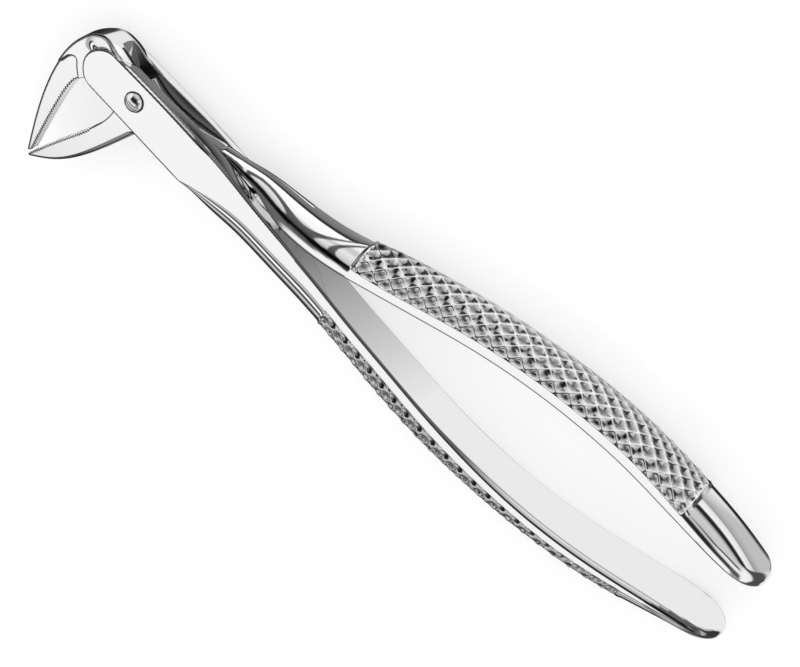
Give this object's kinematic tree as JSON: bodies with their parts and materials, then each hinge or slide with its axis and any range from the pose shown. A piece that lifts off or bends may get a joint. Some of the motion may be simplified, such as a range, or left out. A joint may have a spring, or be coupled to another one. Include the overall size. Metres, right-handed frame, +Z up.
{
  "type": "extraction forceps",
  "caption": "Extraction forceps lying closed on its side: hooked serrated beaks, a through box joint on a domed pivot pin, and bowed half-round handles with diamond-cut grips.",
  "frame": {"origin": "bottom centre of the bounding box, with the forceps closed and lying on its side", "axes": "+X from the beaks to the handle ends along the middle of the handles, +Y towards the male half's handle, +Z up along the pivot pin towards its domed head"},
  "size_m": [0.1766, 0.044, 0.0141],
  "materials": {
    "polished_steel": "mirror polished stainless steel",
    "pin_steel": "polished stainless steel rivet"
  },
  "bodies": {
    "female_body": {"female_half": "polished_steel", "pivot_pin": "pin_steel"},
    "male_body": {"male_half": "polished_steel"}
  },
  "joints": [
    {"name": "opening", "type": "hinge", "parent": "female_body", "child": "male_body", "pos_m": [-0.06891, 0.00731, 0.00705], "axis": [0, 0, 1], "range_deg": [0, 28]}
  ]
}
